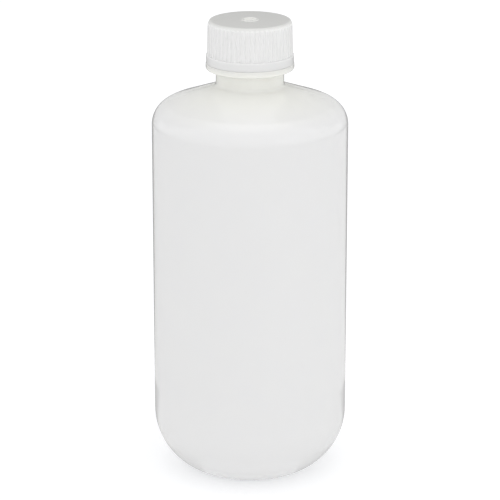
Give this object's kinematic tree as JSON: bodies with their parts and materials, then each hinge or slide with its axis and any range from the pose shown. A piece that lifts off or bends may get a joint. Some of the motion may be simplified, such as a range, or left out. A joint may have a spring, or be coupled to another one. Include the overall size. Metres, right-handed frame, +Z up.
{
  "type": "narrow mouth bottle",
  "caption": "Round shouldered plastic laboratory bottle with a narrow threaded neck and a ribbed screw cap that unscrews over a sealing wad.",
  "frame": {"origin": "centre of the standing ring, on the surface that the bottle stands on", "axes": "+Z up along the bottle's axis, from the base to the cap; +X and +Y are across the body, which is round"},
  "size_m": [0.072, 0.072, 0.1719],
  "materials": {
    "bottle_hdpe": "natural high-density polyethylene, blow moulded, milky and softly glossy",
    "cap_pp": "natural polypropylene, injection moulded, milky and softly glossy",
    "liner_foam": "white polyethylene foam, fine closed cells"
  },
  "bodies": {
    "bottle": {"bottle": "bottle_hdpe"},
    "liner": {"cap_liner": "liner_foam"},
    "cap": {"screw_cap": "cap_pp"}
  },
  "joints": [
    {"name": "cap_rise", "type": "slide", "parent": "bottle", "child": "liner", "axis": [0, 0, 1], "range_m": [0, 0.01484]},
    {"name": "cap_turn", "type": "hinge", "parent": "liner", "child": "cap", "pos_m": [0, 0, 0.16909], "axis": [0, 0, 1], "range_deg": [0, 1260]}
  ],
  "couplings": [
    {"joint": "cap_rise", "follows": "cap_turn", "m_per_rad": 0.00067376}
  ]
}
